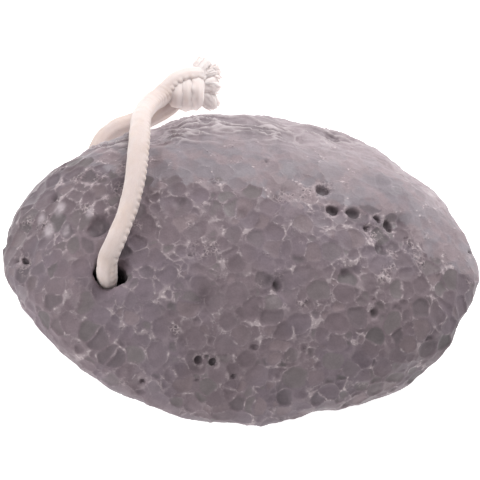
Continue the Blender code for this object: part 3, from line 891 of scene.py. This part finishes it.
def sweep(bm, layer, points, radii, sides, relief, start=0.0, portion=None):
    """A closed tube along points, its skin raised by relief(angle, distance along), added to a bmesh.

    layer keeps each point's place on the cord as if it were pulled straight from start. portion is the
    first and last point of the stretch that is made, where it isn't the whole."""
    first_point, last_point = portion or (0, len(points) - 1)
    rings = []
    along = start
    for i, (point, radius, (_, side, other)) in enumerate(zip(points, radii, frames_along(points))):
        if i:
            along += (point - points[i - 1]).length
        if not first_point <= i <= last_point:
            continue
        ring = []
        for k in range(sides):
            angle = math.tau * k / sides
            reach = radius + relief(angle, along)
            vert = bm.verts.new(point + (side * math.cos(angle) + other * math.sin(angle)) * reach)
            vert[layer] = Vector((math.cos(angle) * radius, math.sin(angle) * radius, along))
            ring.append(vert)
        rings.append(ring)
    for first, second in zip(rings, rings[1:]):
        for k in range(sides):
            bm.faces.new((first[k], first[(k + 1) % sides], second[(k + 1) % sides], second[k]))
    bm.faces.new(reversed(rings[0]))
    bm.faces.new(rings[-1])


def whole_strand(radius):
    """The crown, the cord and the inner leg on one smooth curve, so that they meet without a step.

    Gives its points, its radii, and the numbers of the points where the cord starts and ends. The strand
    is a little uneven, and narrows quickly inside the knot."""
    points = smooth_route([*UPPER_LEG[::-1], *CORD_ROUTE, *LOWER_LEG], RING_SPACING)
    start = min(range(len(points)), key=lambda i: (points[i] - CORD_ROUTE[0]).length)
    end = min(range(len(points)), key=lambda i: (points[i] - CORD_ROUTE[-1]).length)
    radii = []
    for i in range(len(points)):
        knotted = max(0.0, (start - i) / start, (i - end) / (len(points) - 1 - end))
        width = 1.0 - (1.0 - LEG_SQUEEZE) * min(1.0, 1.6 * knotted)
        radii.append(radius * width * (1.0 + 0.05 * math.sin(i * 0.045)))
    return points, radii, start, end


def tucked(radii, start, end):
    """The same radii, smaller at both ends of a stretch, so that each end hides in the next piece."""
    tapered = list(radii)
    for place, inward in ((start, 1), (end, -1)):
        tapered[place] *= 0.75
        tapered[place + inward] *= 0.97
    return tapered


def skin_noise(angle, along, detail, size):
    """Noise over a strand's skin: detail is how much it varies round the strand, size is along it."""
    return noise.noise(Vector((math.cos(angle) * detail, math.sin(angle) * detail, along / size)))


def knit_relief(depth):
    """Height of the cord's skin: columns of slanting stitches, worn soft, with lumps, pits and a seam."""
    columns = 9
    stitch = 1.9 * MM
    lump_height, slack_height, pit_depth = 0.14 * MM, 0.20 * MM, 0.35 * MM
    loop_height, seam_depth = 0.48 * MM, 0.20 * MM

    def lift(angle, along):
        across = angle / math.tau * columns
        column = math.floor(across)
        inside = across - column
        phase = along / stitch + abs(inside - 0.5) * 0.9 + 0.37 * column
        leg = abs(math.sin(math.pi * phase))
        furrow = math.sin(math.pi * inside) ** 0.6
        off_seam = abs((angle - SEAM_ANGLE + math.pi) % math.tau - math.pi)
        seam = math.exp(-((off_seam / SEAM_WIDTH) ** 2))
        loops = abs(math.sin(math.pi * along / SEAM_STITCH)) ** 0.7
        lump = skin_noise(angle, along, 1.2, 2.6 * MM)
        pits = skin_noise(angle, along, 3.1, 0.9 * MM)
        slack = skin_noise(angle, along, 0.4, 9 * MM)
        skin = depth * (0.22 * leg * furrow + 0.5 * furrow - 0.7)
        skin += lump_height * lump + slack_height * slack - pit_depth * max(0.0, pits - 0.42)
        return skin * (1.0 - 0.7 * seam) + seam * (loop_height * loops - seam_depth)

    return lift


def ply_relief(radius):
    """Height of a yarn's skin: two plies twisted round each other."""

    def lift(angle, along):
        return 0.18 * radius * math.sin(2 * angle + math.tau * along / (5 * radius))

    return lift


def tangle_relief(angle, along):
    """Height of a mass of tangled yarn."""
    return 0.30 * MM * skin_noise(angle, along, 2.4, 1.4 * MM)


def at_share(values, share):
    """The value at a share of the way along evenly spaced ones."""
    return np.interp(share, np.linspace(0, 1, len(values)), values)


def loose_yarn(axis, frames, half_widths, kind, rng):
    """One yarn or hair of a frayed end: its points, its radii and half its thickness."""
    thickness, shortest, longest, _, _ = kind
    out = rng.random() ** 0.35
    turn = math.tau * rng.random()
    reach = rng.uniform(shortest, longest)
    half = thickness * MM * rng.uniform(0.8, 1.15)
    seed = Vector((rng.uniform(0, 50), rng.uniform(0, 50), 0.0))
    points = []
    for i in range(max(4, round(len(axis) * min(reach, 1.0)))):
        share = i / (len(axis) - 1)
        width = at_share(half_widths, share) * MM
        _, side, other = frames[i]
        angle = turn + 1.3 * share
        spread_out = (width - half) * out * (1.0 + max(0.0, reach - 1.0) * 2.0 * share)
        sway = noise.noise_vector(seed + Vector((0, 0, share * 2.2))) * 0.55 * MM * share
        points.append(axis[i] + (side * math.cos(angle) + other * math.sin(angle)) * spread_out + sway)
    last = len(points) - 1
    radii = [half * (1.0 - 0.35 * i / last) for i in range(last + 1)]
    radii[-1] *= 0.45
    radii[-2] *= 0.85
    for point in points:
        point.z = max(point.z, half + 0.3 * MM)
    return points, radii, half


def fray(bm, layer, tail, start, rng):
    """A cut end of the cord come apart: a loose bundle of yarns with fine hairs among them."""
    route, half_widths = tail
    axis = smooth_route(millimetres(*route), 0.35 * MM)
    frames = frames_along(axis)
    core = round(len(axis) * 0.90)
    core_radii = [at_share(half_widths, i / (len(axis) - 1)) * 0.88 * MM for i in range(core)]
    for back, shrink in enumerate((0.35, 0.62, 0.80, 0.92)):
        core_radii[-1 - back] *= shrink
    sweep(bm, layer, axis[:core], core_radii, 32, tangle_relief, start)
    for kind in (YARNS, HAIRS):
        *_, sides, count = kind
        for _ in range(count):
            points, radii, half = loose_yarn(axis, frames, half_widths, kind, rng)
            sweep(bm, layer, points, radii, sides, ply_relief(half), start)


def cotton_material(settings):
    """Soft knitted cotton, blotched and fibrous, whiter on its frayed ends, partly as painted light, and
    with painted light on the knot's crown and wrap.
    """
    material, nodes, shader = new_material("knitted cotton")
    place = nodes.named("cord_place", "Vector")
    stretched = nodes.vector_math("MULTIPLY", place, (1.0, 1.0, 0.3))
    fibre = nodes.noise(stretched, 0.12 * MM, detail=3.0, roughness=0.65)
    blotch = nodes.noise(place, 3.0 * MM, detail=3.0)
    cotton = settings.cotton
    shade = (cotton[0] * 0.86, cotton[1] * 0.82, cotton[2] * 0.80, 1.0)
    warm = (cotton[0], cotton[1] * 0.94, cotton[2] * 0.86, 1.0)
    colour = nodes.mix(nodes.fade(blotch, 0.4, 0.7, 0.0, 0.5), rgba(cotton), warm)
    colour = nodes.mix(nodes.fade(fibre, 0.55, 0.35, 0.0, 0.35), colour, shade)
    # Whiter on the frayed ends, partly painted light, and painted light on the knot's crown and wrap.
    colour = nodes.mix(nodes.times(nodes.named("frayed"), 0.85), colour, FRAYED_AND_PAINTED_LIGHT_COTTON)
    bump = nodes.add("ShaderNodeBump", {"Height": fibre, "Strength": 0.6, "Distance": 0.08 * MM})
    nodes.fill(shader, {
        "Base Color": colour,
        "Roughness": 0.95,
        "Normal": bump.outputs[0],
        "Sheen Weight": 0.3,
        "Sheen Roughness": 0.6,
        "Subsurface Weight": 0.25,
        "Subsurface Radius": (1.0, 0.85, 0.75),
        "Subsurface Scale": 1.0 * MM,
    })
    return material


def new_cord_piece(name, bm):
    bmesh.ops.recalc_face_normals(bm, faces=bm.faces)
    mesh = bpy.data.meshes.new(name)
    bm.to_mesh(mesh)
    bm.free()
    piece = bpy.data.objects.new(name, mesh)
    bpy.context.scene.collection.objects.link(piece)
    return piece


def wrap_route():
    """The helix of cord that goes round both legs."""
    steps = round(WRAP_STEPS * WRAP_TURNS)
    wrap = []
    for step in range(steps + 1):
        share = step / steps
        angle = math.tau * (WRAP_TURNS * share - WRAP_LEAD)
        offset = Vector((-WRAP_LEAN * math.sin(angle), math.sin(angle), math.cos(angle))) * WRAP_RADIUS
        wrap.append(WRAP_START.lerp(WRAP_END, share) + offset)
    return smooth_route(wrap, RING_SPACING)


class PUMICE_OT_knot(bpy.types.Operator):
    """Tie the wrapped knot and fray its ends"""

    bl_idname = "pumice.knot"
    bl_label = "Knot"

    def execute(self, context):
        settings = context.scene.pumice_cord
        rng = random.Random(TANGLE_SEED)
        noise.seed_set(TANGLE_SEED)
        bm = bmesh.new()
        layer = bm.verts.layers.float_vector.new("cord_place")
        frayed = bm.verts.layers.float.new("frayed")
        relief = knit_relief(settings.yarn)
        points, radii, start, end = whole_strand(settings.radius)
        for portion in ((0, start + OVERLAP), (end - OVERLAP, len(points) - 1)):
            sweep(bm, layer, points, tucked(radii, *portion), CORD_SIDES, relief, portion=portion)
        # Painted light on the crown, growing along Y.
        for vert in bm.verts:
            share = (vert.co.y - CROWN_LIGHT_FROM) / CROWN_LIGHT_OVER
            vert[frayed] = CROWN_PAINTED_LIGHT * min(1.0, max(0.0, share))

        legs = len(bm.verts)
        wrap = wrap_route()
        wrap_radii = [WRAP_CORD_RADIUS * (1.0 + 0.06 * math.sin(0.11 * i + 1.0)) for i in range(len(wrap))]
        sweep(bm, layer, wrap, wrap_radii, WRAP_SIDES, knit_relief(1.3 * settings.yarn), WRAP_PATTERN_START)
        wrapped = len(bm.verts)
        for number, tail in enumerate(TAILS):
            fray(bm, layer, tail, number * TAIL_PATTERN_STEP, rng)
        # The mesh's points are numbered as they are made: the legs', the wrap's, then the frayed ends'. The
        # wrap gets painted light, and the frayed ends are whiter, partly painted light.
        for number, vert in enumerate(bm.verts):
            if number >= legs:
                vert[frayed] = WRAP_PAINTED_LIGHT if number < wrapped else 1.0
        knot = new_cord_piece("cord_knot", bm)
        finish_piece(knot, cotton_material(settings), "rope_knot")
        return {"FINISHED"}


class PUMICE_OT_cord(bpy.types.Operator):
    """Lay the knitted cord over the stone and through its hole"""

    bl_idname = "pumice.cord"
    bl_label = "Cord"

    def execute(self, context):
        settings = context.scene.pumice_cord
        points, radii, start, end = whole_strand(settings.radius)
        bm = bmesh.new()
        layer = bm.verts.layers.float_vector.new("cord_place")
        portion = (start - OVERLAP, end + OVERLAP)
        relief = knit_relief(settings.yarn)
        sweep(bm, layer, points, tucked(radii, *portion), CORD_SIDES, relief, portion=portion)
        cord = new_cord_piece("cord", bm)
        finish_piece(cord, cotton_material(settings), "rope")
        path = smooth_route(CORD_ROUTE, 2 * MM)
        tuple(CORD_ROUTE[0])
        length_of(path)
        return {"FINISHED"}


# --- The studio ---


def area_light(name, bearing, elevation, distance, size, power):
    """A square soft light that looks at AIM from a bearing and an elevation, in degrees."""
    b, e = math.radians(bearing), math.radians(elevation)
    away = Vector((math.cos(b) * math.cos(e), math.sin(b) * math.cos(e), math.sin(e)))
    light = bpy.data.lights.new(name, "AREA")
    light.size = size
    light.energy = power
    lamp = bpy.data.objects.new(name, light)
    lamp.location = AIM + away * distance
    lamp.rotation_euler = away.to_track_quat("Z", "Y").to_euler()
    bpy.context.scene.collection.objects.link(lamp)


def white_floor():
    """A wide sheet of white paper under the stone."""
    bpy.ops.mesh.primitive_plane_add(size=6.0, location=(0, 0, 0))
    floor = bpy.context.active_object
    floor.name = "floor"
    material, nodes, shader = new_material("white paper")
    nodes.fill(shader, {
        "Base Color": (0.9, 0.9, 0.9, 1.0),
        "Roughness": 0.9,
        "Emission Color": WHITE,
        "Emission Strength": 0.70,
    })
    floor.data.materials.append(material)


class PUMICE_OT_studio(bpy.types.Operator):
    """Set up the floor, the soft light and the camera"""

    bl_idname = "pumice.studio"
    bl_label = "Studio"

    def execute(self, context):
        settings = context.scene.pumice_studio
        white_floor()
        world = bpy.data.worlds.new("soft room")
        world.use_nodes = True
        background = world.node_tree.nodes["Background"]
        Nodes(world.node_tree).fill(background, {"Color": WHITE, "Strength": 0.40})
        context.scene.world = world
        area_light("key", bearing=62, elevation=36, distance=0.8, size=0.35, power=5.8)
        area_light("fill", bearing=205, elevation=38, distance=0.9, size=0.8, power=4.6)

        camera_data = bpy.data.cameras.new("camera")
        camera_data.sensor_width = 36.0
        camera_data.lens = camera_data.sensor_width * settings.distance / settings.picture_width
        camera_data.clip_start = 0.05
        camera_data.clip_end = 20.0
        camera = bpy.data.objects.new("camera", camera_data)
        away = Vector((0, -math.cos(settings.elevation), math.sin(settings.elevation)))
        camera.location = AIM + away * settings.distance
        camera.rotation_euler = away.to_track_quat("Z", "Y").to_euler()
        context.scene.collection.objects.link(camera)
        context.scene.camera = camera
        context.scene.view_settings.view_transform = "Standard"
        return {"FINISHED"}


class PUMICE_PT_panel(bpy.types.Panel):
    """Sidebar panel with one button for each piece"""

    bl_idname = "PUMICE_PT_panel"
    bl_label = "Pumice Foot Stone"
    bl_space_type = "VIEW_3D"
    bl_region_type = "UI"
    bl_category = "Pumice"

    def draw(self, context):
        scene = context.scene
        for settings, operator in (
            (scene.pumice_studio, "pumice.studio"),
            (scene.pumice_cord, "pumice.knot"),
            (scene.pumice_cord, "pumice.cord"),
            (scene.pumice_stone, "pumice.stone"),
        ):
            box = self.layout.box()
            for name in settings.__annotations__:
                box.prop(settings, name)
            box.operator(operator)


SETTINGS = {"pumice_stone": StoneSettings, "pumice_cord": CordSettings, "pumice_studio": StudioSettings}
OPERATORS = (PUMICE_OT_studio, PUMICE_OT_knot, PUMICE_OT_cord, PUMICE_OT_stone)
CLASSES = (*SETTINGS.values(), *OPERATORS, PUMICE_PT_panel)


def register():
    for cls in CLASSES:
        bpy.utils.register_class(cls)
    for name, cls in SETTINGS.items():
        setattr(bpy.types.Scene, name, bpy.props.PointerProperty(type=cls))


def unregister():
    for name in SETTINGS:
        delattr(bpy.types.Scene, name)
    for cls in reversed(CLASSES):
        bpy.utils.unregister_class(cls)


def main():
    register()
    bpy.ops.pumice.studio()
    bpy.ops.pumice.knot()
    bpy.ops.pumice.cord()
    bpy.ops.pumice.stone()


if __name__ == "__main__":
    main()
